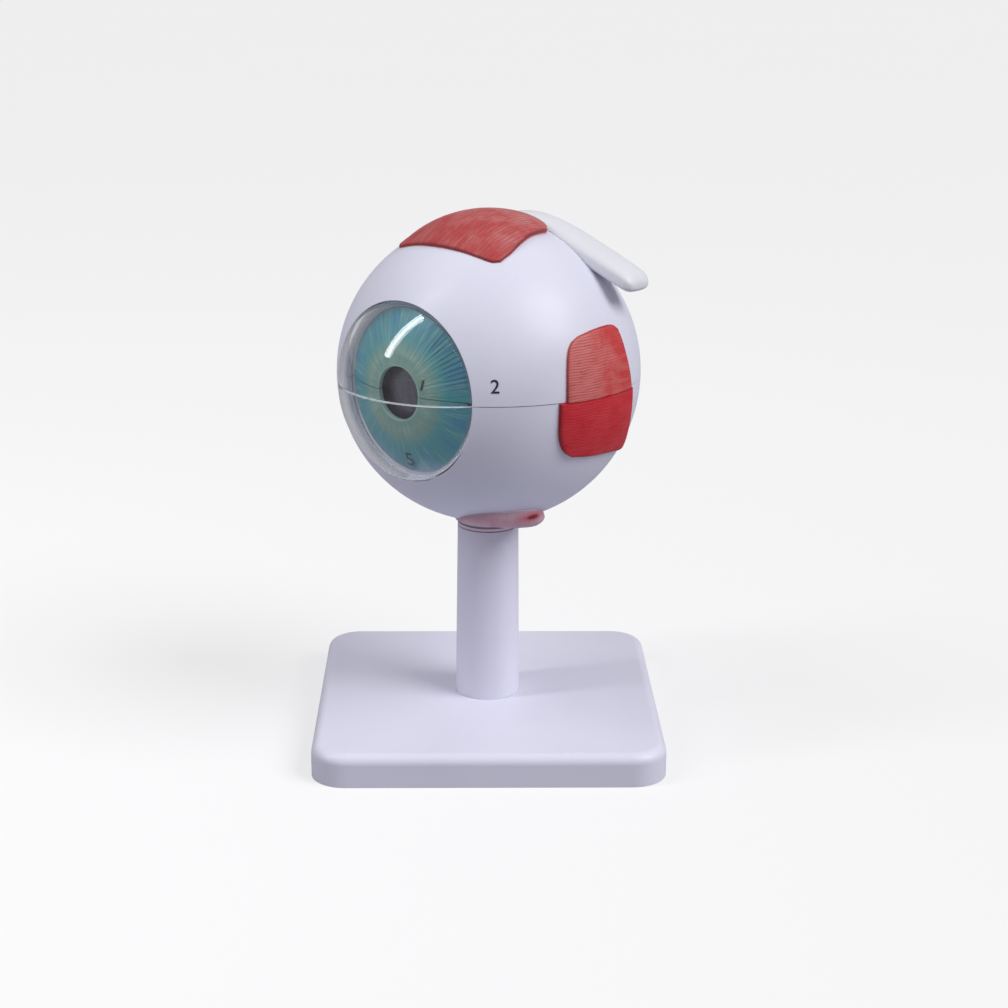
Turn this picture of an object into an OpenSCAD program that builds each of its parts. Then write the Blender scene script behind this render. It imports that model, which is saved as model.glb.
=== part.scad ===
// Enlarged model of the human eye on a square stand.
// The eyeball turns on the post and comes apart along one level seam:
// upper outer shell, upper choroid, lens, vitreous body, lower choroid, lower outer shell.
// Millimetres, +Z up, origin at the centre of the underside of the base.
// Eye frame: centre of the eyeball, +X along the optical axis, +Y to the nose side.

/* [Base] */
// Side of the square base
base_w = 90; // [88:1:96]
// Height of the base plate
base_h = 8.5; // [8:0.5:10]
// Corner radius of the base in plan
base_corner_r = 9; // [7:0.5:12]
// Radius of the rounded top edge
base_edge_r = 2.5; // [1.5:0.25:3]
// Thickness of the moulded skirt under the base
base_wall = 2.2; // [1.8:0.2:3]

/* [Post] */
// Height of the top of the post above the table
post_top_z = 55; // [54:0.5:55]
// Radius of the post at its foot
post_foot_r = 8.5; // [8.2:0.1:9]
// Radius of the post at its top
post_top_r = 8; // [7.8:0.1:8]
// Radius of the pin that the eyeball turns and lifts off on
pin_r = 5; // [4.5:0.1:5.2]
// Radial clearance round the pin
pin_fit = 0.05; // [0.03:0.01:0.08]

/* [Eyeball] */
// Outer radius of the sclera
eye_r = 39; // [38.9:0.1:39.2]
// Height of the centre of the eyeball and of its seam
eye_z = 96.5; // [96.5:0.25:97]
// Direction of gaze, from straight ahead towards the left of the view
gaze = 42; // [30:1:50]
// Wall of the sclera
sclera_wall = 2.8; // [2.7:0.05:2.85]
// Gap of the seam between the upper and lower halves
seam_gap = 0.2; // [0.1:0.05:0.3]

/* [Cornea and iris] */
// Radius of the round opening for the cornea
limbus_r = 22.6; // [22.4:0.1:22.8]
// How far the cornea stands in front of the opening
cornea_rise = 11.2; // [10.5:0.1:12]
// Wall of the clear cornea
cornea_wall = 1.5; // [1.3:0.05:1.5]
// Outer radius of the coloured iris
iris_r = 20.3; // [20:0.1:20.5]
// Radius of the pupil
pupil_r = 6.5; // [5.5:0.1:7]
// Radius of the iris dome
iris_dome_r = 42; // [42:0.5:43]

/* [Inner parts] */
// Running gap between one nested shell and the next
nest_gap = 0.45; // [0.4:0.05:0.5]
// Wall of the choroid
choroid_wall = 2.2; // [2:0.1:2.3]
// Radius of the lens
lens_r = 13; // [12.5:0.1:13]
// Radius of the flatter front face of the lens
lens_front_r = 20; // [19.5:0.5:22]
// Radius of the rounder back face of the lens
lens_back_r = 16; // [16:0.5:17]

/* [Muscles] */
// How far the moulded muscles stand off the sclera
relief = 1; // [0.8:0.1:1.2]
// Half width of the white tendon that runs out to the nose side
tendon_half_w = 4.9; // [4.4:0.1:5]
// Rounding of the tendon's edges
tendon_edge_r = 2; // [1.6:0.1:2.1]
// Radius of the optic nerve
nerve_r = 5.5; // [5:0.1:5.5]

/* [Hidden] */
$fn = 96;

// base
base_top_t = 2.4;                                // plate above the hollow
base_hollow_h = base_h - base_top_t;
foot_recess = 1.5;                               // post sits this deep in the plate
screw_r = 1.5;
boss_r = 7;                                      // boss under the plate for the screw

// post and pin
post_z0 = base_h - foot_recess;
pin_z0 = post_top_z - 15;
pin_z1 = eye_z - 37.4;

// shells
sclera_in = eye_r - sclera_wall;
choroid_out = sclera_in - nest_gap;
choroid_in = choroid_out - choroid_wall;
vitreous_r = choroid_in - nest_gap;
half_gap = seam_gap / 2;

// cornea: a dome on a short round skirt that sits in the sclera's opening
cornea_r0 = limbus_r - 0.05;
limbus_x = sqrt(eye_r * eye_r - limbus_r * limbus_r);
cornea_R = (cornea_r0 * cornea_r0 + cornea_rise * cornea_rise) / (2 * cornea_rise);
cornea_cx = limbus_x + cornea_rise - cornea_R;
skirt_x = limbus_x - 2.5;
skirt_in = cornea_r0 - cornea_wall;
skirt_top_x = cornea_cx + sqrt(pow(cornea_R - cornea_wall, 2) - skirt_in * skirt_in);

// iris: a shallow dome on the front face of the choroid
front_x = 28;
iris_cx = -7.9;
iris_t = 1.2;

// lens, from its front and back faces
lens_x1 = 31.5;
lens_x0 = 19;
ciliary_x = 24.4;
ciliary_r = lens_r + 0.4;
vitreous_front_x = 24;
lens_slot_w = sqrt(pow(lens_back_r + 0.3, 2) - pow(lens_x0 + lens_back_r - vitreous_front_x, 2)) + 0.3;

// pins across the seam: angle round the eyeball from the optical axis
sclera_pin_angles = [58, 142, -58, -140];
choroid_pin_angles = [62, 150, -62, -150];
sclera_pin_r = 0.8;
choroid_pin_r = 0.6;
pin_bore_fit = 0.06;

// optic nerve, set to the nose side of the back pole
nerve_y = 6;
nerve_end_x = -48.5;

// half outlines of the muscle tongues seen along the vertical axis, front to tail
superior_half = [[18.6, 0], [18.4, 4], [17.9, 8], [17.1, 12], [16, 15.2], [14.4, 16.4],
                 [11, 16.3], [6.2, 15.3], [1.5, 13.9], [-3, 12.7], [-6.2, 11.7], [-8, 10.3],
                 [-8.8, 8.2], [-8.8, 4], [-8.8, 0]];
oblique_half = [[23.8, 0], [23.4, 4], [22.2, 6.8], [20.2, 8.9], [17.6, 10.3], [14.5, 10.8],
                [10, 10.8], [4, 10.2], [-3, 9.2], [-9, 8.2], [-14, 7], [-17, 5.2],
                [-18.6, 2.8], [-19, 0]];
oblique_turn = 52;                               // of the lower muscle, from the optical axis
// outlines of the side muscles seen from the side, x forward and z up, down to the seam
side_upper = [[13.6, half_gap], [13.4, 4], [12.9, 8], [11.9, 11.6], [10.2, 14], [7.6, 15.3],
              [3, 16.1], [-2, 16.4], [-5.2, 16.1], [-6.9, 15], [-7.6, 13], [-8.2, 9.8],
              [-8.9, 6.6], [-9.7, 3], [-10.3, half_gap]];
side_lower = [[15.4, -half_gap], [15.3, -4], [14.9, -7.4], [13.8, -10.6], [12, -13],
              [9.4, -14.6], [4, -15.4], [-1.9, -15.9], [-7, -16.5], [-10.8, -17.3],
              [-12.8, -17.4], [-13.4, -15.6], [-12.5, -12], [-11.4, -6], [-10.6, -half_gap]];
// stations of the white tendon: [y, top z, underside z, half width]
tendon_x = -13.75;
tendon_stations = [[-12, 35.8, 31.4, tendon_half_w - 0.6], [-6, 38.5, 33, tendon_half_w - 0.2],
                   [0, 39.5, 34, tendon_half_w], [6, 39, 33.6, tendon_half_w],
                   [14, 36.9, 31.7, tendon_half_w], [22, 33.9, 28.8, tendon_half_w],
                   [30, 30.7, 26, tendon_half_w], [35.6, 28.3, 24.2, tendon_half_w - 0.3],
                   [37.6, 27, 24.1, tendon_half_w - 1]];

function mirrored(half) = concat(half, [for (i = [len(half) - 2:-1:1]) [half[i].x, -half[i].y]]);

// ---- placing helpers ----

// The eye frame, turned towards the gaze and raised to the seam
module eye() translate([0, 0, eye_z]) rotate([0, 0, -90 - gaze]) children();

// Cylinder along the optical axis from x0 to x1
module axial(r, x0, x1) translate([x0, 0, 0]) rotate([0, 90, 0]) cylinder(r = r, h = x1 - x0);

// Solid turned about the optical axis from a profile drawn as [radius, distance along the axis]
module turned() rotate([0, 90, 0]) rotate_extrude($fn = 128) children();

module above_seam() intersection() {
    children();
    translate([-60, -60, half_gap]) cube([120, 120, 60]);
}

module below_seam() intersection() {
    children();
    translate([-60, -60, -60 - half_gap]) cube([120, 120, 60]);
}

// Upright rods at the given angles on a circle of radius r
module rods(angles, r, rod_r, z0, z1)
    for (a = angles) rotate([0, 0, a]) translate([r, 0, z0]) cylinder(r = rod_r, h = z1 - z0, $fn = 32);

// ---- stand ----

// Half profile of the base edge: square foot, rounded top
module edge_profile(reach) {
    square([reach, base_h - base_edge_r]);
    square([reach - base_edge_r, base_h]);
    translate([reach - base_edge_r, base_h - base_edge_r]) intersection() {
        circle(base_edge_r);
        square(base_edge_r);
    }
}

module full_profile(half) {
    edge_profile(half);
    mirror([1, 0]) edge_profile(half);
}

module base_block() {
    run = base_w - 2 * base_corner_r;
    for (a = [0, 90]) rotate([0, 0, a])
        translate([0, run / 2, 0]) rotate([90, 0, 0]) linear_extrude(run) full_profile(base_w / 2);
    for (x = [-1, 1], y = [-1, 1]) translate([x * run / 2, y * run / 2, 0])
        rotate_extrude() edge_profile(base_corner_r);
}

module base_hollow() {
    in = base_w / 2 - base_wall;
    r = base_corner_r - base_wall;
    translate([0, 0, -1]) linear_extrude(base_hollow_h + 1) {
        square([2 * in, 2 * (in - r)], center = true);
        square([2 * (in - r), 2 * in], center = true);
        for (x = [-1, 1], y = [-1, 1]) translate([x * (in - r), y * (in - r)]) circle(r);
    }
}

module base_plate() color("whitesmoke") difference() {
    union() {
        difference() {
            base_block();
            base_hollow();
        }
        for (a = [0, 90]) rotate([0, 0, a]) translate([-0.8, -base_w / 2 + 1, 1.5])
            cube([1.6, base_w - 2, base_hollow_h]);
        translate([0, 0, 1]) cylinder(r = boss_r, h = base_hollow_h);
    }
    translate([0, 0, post_z0]) cylinder(r = post_foot_r + 0.05, h = 10);
    translate([0, 0, -1]) cylinder(r = 5, h = 4.4, $fn = 48);
    translate([0, 0, -1]) cylinder(r = screw_r + 0.2, h = 20, $fn = 32);
}

module post() color("white") difference() {
    translate([0, 0, post_z0]) cylinder(r1 = post_foot_r, r2 = post_top_r, h = post_top_z - post_z0);
    translate([0, 0, pin_z0]) cylinder(r = pin_r + pin_fit, h = 20);
    difference() {
        translate([0, 0, post_z0 - 1]) cylinder(r = 6.4, h = pin_z0 - 3 - post_z0 + 1);
        translate([0, 0, post_z0 - 1]) cylinder(r = 3.6, h = 60, $fn = 48);
    }
    translate([0, 0, post_z0 - 1]) cylinder(r = screw_r + 0.03, h = 17, $fn = 32);
}

module post_washer() color("silver") translate([0, 0, 2.6]) difference() {
    cylinder(r = 4.6, h = 0.8, $fn = 48);
    translate([0, 0, -1]) cylinder(r = screw_r + 0.2, h = 3, $fn = 32);
}

module post_screw() color("gray") difference() {
    union() {
        translate([0, 0, 0.6]) cylinder(r1 = 2.6, r2 = 3.2, h = 0.8, $fn = 48);
        translate([0, 0, 1.4]) cylinder(r = 3.2, h = 1.2, $fn = 48);
        translate([0, 0, 2.6]) cylinder(r = screw_r, h = 17.4, $fn = 32);
        translate([0, 0, 20]) cylinder(r1 = screw_r, r2 = 0.4, h = 1.6, $fn = 32);
    }
    for (a = [0, 90]) rotate([0, 0, a]) translate([-1.9, -0.4, 0]) cube([3.8, 0.8, 1.7]);
}

module swivel_pin() color("lightgray") {
    translate([0, 0, pin_z0 + 0.1]) cylinder(r1 = pin_r - 0.6, r2 = pin_r, h = 0.8);
    translate([0, 0, pin_z0 + 0.9]) cylinder(r = pin_r, h = pin_z1 - 0.6 - pin_z0 - 0.9);
    translate([0, 0, pin_z1 - 0.6]) cylinder(r1 = pin_r, r2 = pin_r - 0.5, h = 0.6);
}

// ---- outer shell ----

module sclera_shell() difference() {
    sphere(eye_r);
    sphere(sclera_in);
    axial(limbus_r, 0, eye_r + 5);
    translate([0, nerve_y, 0]) axial(nerve_r + 0.03, -eye_r - 5, -20);
}

module lower_sclera() color("whitesmoke") eye() difference() {
    below_seam() sclera_shell();
    translate([0, 0, -eye_r - 5]) cylinder(r = 6.62, h = 15);
    rods(sclera_pin_angles, eye_r - sclera_wall / 2, sclera_pin_r, -4, 5);
}

module upper_sclera() color("white") eye() difference() {
    above_seam() sclera_shell();
    rods(sclera_pin_angles, eye_r - sclera_wall / 2, sclera_pin_r + pin_bore_fit, -1, 3.3);
}

module sclera_pins() color("white") eye()
    rods(sclera_pin_angles, eye_r - sclera_wall / 2, sclera_pin_r, -4, 3);

// Collar moulded under the lower shell, with the blind socket for the pin
module stem_collar() color("mistyrose") eye() {
    foot = post_top_z + 0.3 - eye_z;
    difference() {
        union() {
            difference() {
                translate([0, 0, foot]) cylinder(r = post_top_r, h = 8);
                sphere(eye_r);
            }
            translate([0, 0, foot]) cylinder(r = 6.6, h = -36.3 - foot);
        }
        translate([0, 0, foot - 1]) cylinder(r = pin_r + pin_fit, h = -37.3 - foot + 1);
    }
}

// Ball on the optical axis, its poles up and down and its seam line to the back
module ball(cx, r) translate([cx, 0, 0]) rotate([0, 0, 180]) sphere(r);

module cornea_shell() difference() {
    union() {
        axial(cornea_r0 - 0.05, skirt_x, limbus_x + 0.3);
        intersection() {
            ball(cornea_cx, cornea_R);
            axial(40, limbus_x, 60);
        }
    }
    axial(skirt_in, skirt_x - 1, limbus_x - 0.6);
    intersection() {
        ball(cornea_cx, cornea_R - cornea_wall);
        axial(40, limbus_x - 0.6, 60);
    }
}

module lower_cornea() color("azure", 0.4) eye() below_seam() cornea_shell();
module upper_cornea() color("azure", 0.4) eye() above_seam() cornea_shell();

module nerve_rod() difference() {
    translate([0, nerve_y, 0]) axial(nerve_r, nerve_end_x, -34);
    sphere(sclera_in);
}

module optic_nerve_lower() color("khaki") eye() below_seam() nerve_rod();
module optic_nerve_upper() color("khaki") eye() above_seam() nerve_rod();

// ---- muscles ----

// Thickest over its middle, where the belly of a smaller ball stands out of the even layer
module superior_rectus() color("indianred") eye() intersection() {
    difference() {
        union() {
            sphere(eye_r + relief * 0.8);
            translate([0, 0, 9.3]) sphere(eye_r - 6.8);
        }
        sphere(eye_r);
    }
    linear_extrude(60) polygon(mirrored(superior_half));
}

// Rounded bar that leaves the ball behind the upper muscle and runs out and down
module superior_oblique_tendon() color("white") eye() difference() {
    for (i = [0:len(tendon_stations) - 2]) hull() for (s = [tendon_stations[i], tendon_stations[i + 1]])
        for (side = [-1, 1], z = [s[1] - min(tendon_edge_r, (s[1] - s[2]) / 2 - 0.05),
                                  s[2] + min(tendon_edge_r, (s[1] - s[2]) / 2 - 0.05)])
            translate([tendon_x + side * (s[3] - tendon_edge_r),
                       s[0] - min(tendon_edge_r, (s[1] - s[2]) / 2 - 0.05) * (s[0] > 37 ? 1 : 0), z])
                sphere(min(tendon_edge_r, (s[1] - s[2]) / 2 - 0.05), $fn = 16);
    sphere(eye_r, $fn = 160);
}

// Tongue across the underside, with a round opening for the collar
module inferior_oblique() color("indianred") eye() difference() {
    intersection() {
        union() {
            sphere(eye_r + relief * 0.7);
            translate([0, 7.5, 0]) sphere(eye_r + 0.2);
        }
        translate([0, 0, -60]) linear_extrude(60) rotate(oblique_turn) polygon(mirrored(oblique_half));
    }
    sphere(eye_r);
    translate([0, 0, -60]) cylinder(r = post_top_r + 0.04, h = 40);
    translate([0, 0, -60]) cylinder(r = post_top_r + 0.9, h = 60 + post_top_z + 0.4 - eye_z);
}

module side_patch(outline, t) intersection() {
    difference() {
        sphere(eye_r + t);
        sphere(eye_r);
    }
    translate([0, 60, 0]) rotate([90, 0, 0]) linear_extrude(60) polygon(outline);
}

module medial_rectus_upper() color("firebrick") eye() side_patch(side_upper, relief);
module medial_rectus_lower() color("firebrick") eye() side_patch(side_lower, relief * 1.2);
module lateral_rectus_upper() color("firebrick") eye() mirror([0, 1, 0]) side_patch(side_upper, relief);
module lateral_rectus_lower() color("firebrick") eye()
    mirror([0, 1, 0]) side_patch(side_lower, relief * 1.2);

// ---- middle coat ----

// Shell with a flat front face for the iris and an inward ring round the lens
module choroid_shell() difference() {
    intersection() {
        sphere(choroid_out);
        axial(60, -50, front_x);
    }
    difference() {
        sphere(choroid_in);
        axial(60, ciliary_x, 60);
    }
    axial(ciliary_r, 0, 60);
}

module lower_choroid() color("darkred") eye() difference() {
    below_seam() choroid_shell();
    rods(choroid_pin_angles, choroid_out - choroid_wall / 2, choroid_pin_r, -3, 5);
}

module upper_choroid() color("darkred") eye() difference() {
    above_seam() choroid_shell();
    rods(choroid_pin_angles, choroid_out - choroid_wall / 2, choroid_pin_r + pin_bore_fit, -1, 2.8);
}

module choroid_pins() color("darkred") eye()
    rods(choroid_pin_angles, choroid_out - choroid_wall / 2, choroid_pin_r, -3, 2.5);

module iris_dome() turned() difference() {
    intersection() {
        translate([0, iris_cx]) circle(iris_dome_r);
        translate([pupil_r, front_x]) square([iris_r - pupil_r, 40]);
    }
    translate([0, iris_cx]) circle(iris_dome_r - iris_t);
}

module lower_iris() color("teal") eye() below_seam() iris_dome();
module upper_iris() color("teal") eye() above_seam() iris_dome();

// ---- clear inner parts ----

// Clear ball with a flat front, a seat for the lens and a slot above it to lift the lens out
module vitreous_body() color("aliceblue", 0.5) eye() difference() {
    turned() difference() {
        intersection() {
            circle(vitreous_r);
            translate([0, -40]) square([60, 40 + vitreous_front_x]);
        }
        translate([0, lens_x0 + lens_back_r]) circle(lens_back_r + 0.3);
    }
    translate([lens_x0 - 0.3, -lens_slot_w, 0]) cube([10, 2 * lens_slot_w, 60]);
}

module lens() color("aliceblue", 0.6) eye() turned() intersection() {
    translate([0, lens_x1 - lens_front_r]) circle(lens_front_r);
    translate([0, lens_x0 + lens_back_r]) circle(lens_back_r);
    square([lens_r, 60]);
}

base_plate();
post();
post_screw();
post_washer();
swivel_pin();
lower_sclera();
stem_collar();
lower_cornea();
inferior_oblique();
lateral_rectus_lower();
medial_rectus_lower();
optic_nerve_lower();
sclera_pins();
lower_choroid();
lower_iris();
choroid_pins();
vitreous_body();
lens();
upper_choroid();
upper_iris();
upper_sclera();
upper_cornea();
superior_rectus();
superior_oblique_tendon();
lateral_rectus_upper();
medial_rectus_upper();
optic_nerve_upper();
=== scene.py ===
"""Dresses an enlarged, take-apart model of the human eye on a square stand.

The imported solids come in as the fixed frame. The base, post, shells and clear core keep their
solids and get finishes; the muscles, the white tendon, the cornea, the iris and the printed
numbers are modelled here. Lengths are written in millimetres and turned to metres in the meshes.
The eye frame has its origin at the centre of the eyeball, +X along the optical axis, +Y towards
the nose and +Z up.
"""

from __future__ import annotations

import logging
import math
from dataclasses import dataclass, field
from enum import Enum
from typing import Iterable, Sequence

import bmesh
import bpy
from mathutils import Matrix, Vector, noise


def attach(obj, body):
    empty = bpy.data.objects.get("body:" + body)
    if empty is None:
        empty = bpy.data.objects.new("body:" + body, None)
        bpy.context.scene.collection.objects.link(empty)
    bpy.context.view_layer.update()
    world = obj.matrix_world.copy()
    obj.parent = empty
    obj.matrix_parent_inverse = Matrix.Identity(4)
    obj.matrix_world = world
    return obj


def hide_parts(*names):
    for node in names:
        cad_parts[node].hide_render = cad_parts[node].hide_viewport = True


LOG = logging.getLogger("eye_model")
MM = 0.001
EYE_HEIGHT = 96.5
GAZE = 42.0
SCLERA_R = 39.0
SEAM_HALF = 0.1
PUPIL_R = 6.5
IRIS_RIM_R = 20.3
IRIS_CENTRE_X = -7.9
RUFF_R = 9.6
NERVE_Y = 6.0
SUNK = 0.1
EYE = Matrix.Translation((0.0, 0.0, EYE_HEIGHT * MM)) @ Matrix.Rotation(
    math.radians(-90.0 - GAZE), 4, "Z"
)

Colour = tuple[float, float, float]
Points = Sequence[tuple[float, float]]
Socket = bpy.types.NodeSocket


class Half(Enum):
    """Which half of the eyeball a piece belongs to."""

    UPPER = 1
    LOWER = -1


class Place(Enum):
    """Where on the eyeball a muscle lies."""

    TOP = "top"
    UNDER = "under"
    TEMPLE = "temple"
    NOSE = "nose"


def curve(points: Points, x: float) -> float:
    """Smooth line through points.

    Args:
        points: (x, y) pairs in rising order of x.
        x: Where to read the line; outside the points the end value holds.

    Returns:
        The line's height at x.
    """
    if x <= points[0][0]:
        return points[0][1]
    if x >= points[-1][0]:
        return points[-1][1]
    i = max(k for k in range(len(points) - 1) if points[k][0] <= x)

    def slope(k: int) -> float:
        """Slope of the line at point k."""
        a, b = points[max(k - 1, 0)], points[min(k + 1, len(points) - 1)]
        return (b[1] - a[1]) / (b[0] - a[0])

    (x0, y0), (x1, y1) = points[i], points[i + 1]
    w = x1 - x0
    t = (x - x0) / w
    return (
        (2 * t**3 - 3 * t**2 + 1) * y0
        + (t**3 - 2 * t**2 + t) * w * slope(i)
        + (-2 * t**3 + 3 * t**2) * y1
        + (t**3 - t**2) * w * slope(i + 1)
    )


def clamp01(x: float) -> float:
    """Limits x to 0..1."""
    return max(0.0, min(1.0, x))


# ---------------------------------------------------------------- node trees


class Nodes:
    """Short calls for building one node tree."""

    def __init__(self, tree: bpy.types.NodeTree) -> None:
        """Starts on an empty tree."""
        self.tree = tree
        tree.nodes.clear()

    def add(self, kind: str, inputs: dict | None = None, **settings) -> bpy.types.Node:
        """Adds a node.

        Args:
            kind: The node's Blender type.
            inputs: Socket names or numbers with the values or sockets that feed them.
            settings: Properties of the node itself.

        Returns:
            The new node.
        """
        node = self.tree.nodes.new(kind)
        for name, value in settings.items():
            setattr(node, name, value)
        for name, value in (inputs or {}).items():
            if isinstance(value, bpy.types.NodeSocket):
                self.tree.links.new(value, node.inputs[name])
            else:
                node.inputs[name].default_value = value
        return node

    def link(self, source: Socket, target: Socket) -> None:
        """Feeds an input from an output."""
        self.tree.links.new(source, target)

    def math(self, operation: str, a, b=0.0, c=0.0) -> Socket:
        """Result of one math operation on numbers or sockets."""
        return self.add("ShaderNodeMath", {0: a, 1: b, 2: c}, operation=operation).outputs[0]

    def times(self, a, b) -> Socket:
        """Product of two numbers or sockets."""
        return self.math("MULTIPLY", a, b)

    def vector(self, operation: str, inputs: dict, result: str = "Vector") -> Socket:
        """Result of one vector math operation."""
        return self.add("ShaderNodeVectorMath", inputs, operation=operation).outputs[result]

    def split(self, vector: Socket) -> list[Socket]:
        """The x, y and z of a vector."""
        return list(self.add("ShaderNodeSeparateXYZ", {0: vector}).outputs)

    def reach(self, y: Socket, z: Socket, y0: float = 0.0, z0: float = 0.0) -> Socket:
        """Distance between (y, z) and (y0, z0)."""
        dy, dz = self.math("SUBTRACT", y, y0), self.math("SUBTRACT", z, z0)
        return self.math("SQRT", self.math("ADD", self.times(dy, dy), self.times(dz, dz)))

    def fit(self, value: Socket, low: float, high: float, to_low=0.0, to_high=1.0) -> Socket:
        """Maps low..high to to_low..to_high, clamped and eased."""
        node = self.add(
            "ShaderNodeMapRange", {0: value, 1: low, 2: high, 3: to_low, 4: to_high},
            interpolation_type="SMOOTHSTEP",
        )
        return node.outputs[0]

    def mix(self, factor, a, b) -> Socket:
        """Colour a where factor is 0 and b where it is 1."""
        a = a if isinstance(a, bpy.types.NodeSocket) else (*a, 1.0)
        b = b if isinstance(b, bpy.types.NodeSocket) else (*b, 1.0)
        node = self.add("ShaderNodeMix", {0: factor, 6: a, 7: b}, data_type="RGBA")
        return node.outputs[2]

    def layers(self, tone: Socket, *coats: tuple) -> Socket:
        """Lays coats, each an (amount, colour), over a tone in order."""
        for amount, coat in coats:
            tone = self.mix(amount, tone, coat)
        return tone

    def noise(self, vector: Socket, scale: float, detail=2.0, rough=0.5, warp=0.0) -> Socket:
        """Noise value, 0 to 1."""
        node = self.add(
            "ShaderNodeTexNoise",
            {"Vector": vector, "Scale": scale, "Detail": detail, "Roughness": rough,
             "Distortion": warp},
        )
        return node.outputs["Fac"]

    def object_point(self) -> Socket:
        """The surface point in metres in the model's own frame."""
        return self.add("ShaderNodeTexCoord").outputs["Object"]

    def eye_point(self) -> Socket:
        """The surface point in the eye frame, in millimetres."""
        turn = EYE.inverted()
        node = self.add("ShaderNodeMapping", {
            "Vector": self.object_point(), "Rotation": turn.to_euler(),
            "Location": turn.translation / MM, "Scale": (1 / MM, 1 / MM, 1 / MM)},
            vector_type="POINT")
        return node.outputs["Vector"]


def shared_group(name: str, inputs: dict[str, str], outputs: dict[str, str]) -> tuple:
    """Starts a shader node group.

    Args:
        name: The group's name.
        inputs: Input names with their socket types.
        outputs: Output names with their socket types.

    Returns:
        The tree, its Nodes, and the group's input and output nodes.
    """
    tree = bpy.data.node_groups.new(name, "ShaderNodeTree")
    for label, kind in inputs.items():
        tree.interface.new_socket(label, in_out="INPUT", socket_type=kind)
    for label, kind in outputs.items():
        tree.interface.new_socket(label, in_out="OUTPUT", socket_type=kind)
    kit = Nodes(tree)
    return tree, kit, kit.add("NodeGroupInput"), kit.add("NodeGroupOutput")


VECTOR, COLOUR, NUMBER = "NodeSocketVector", "NodeSocketColor", "NodeSocketFloat"


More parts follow.
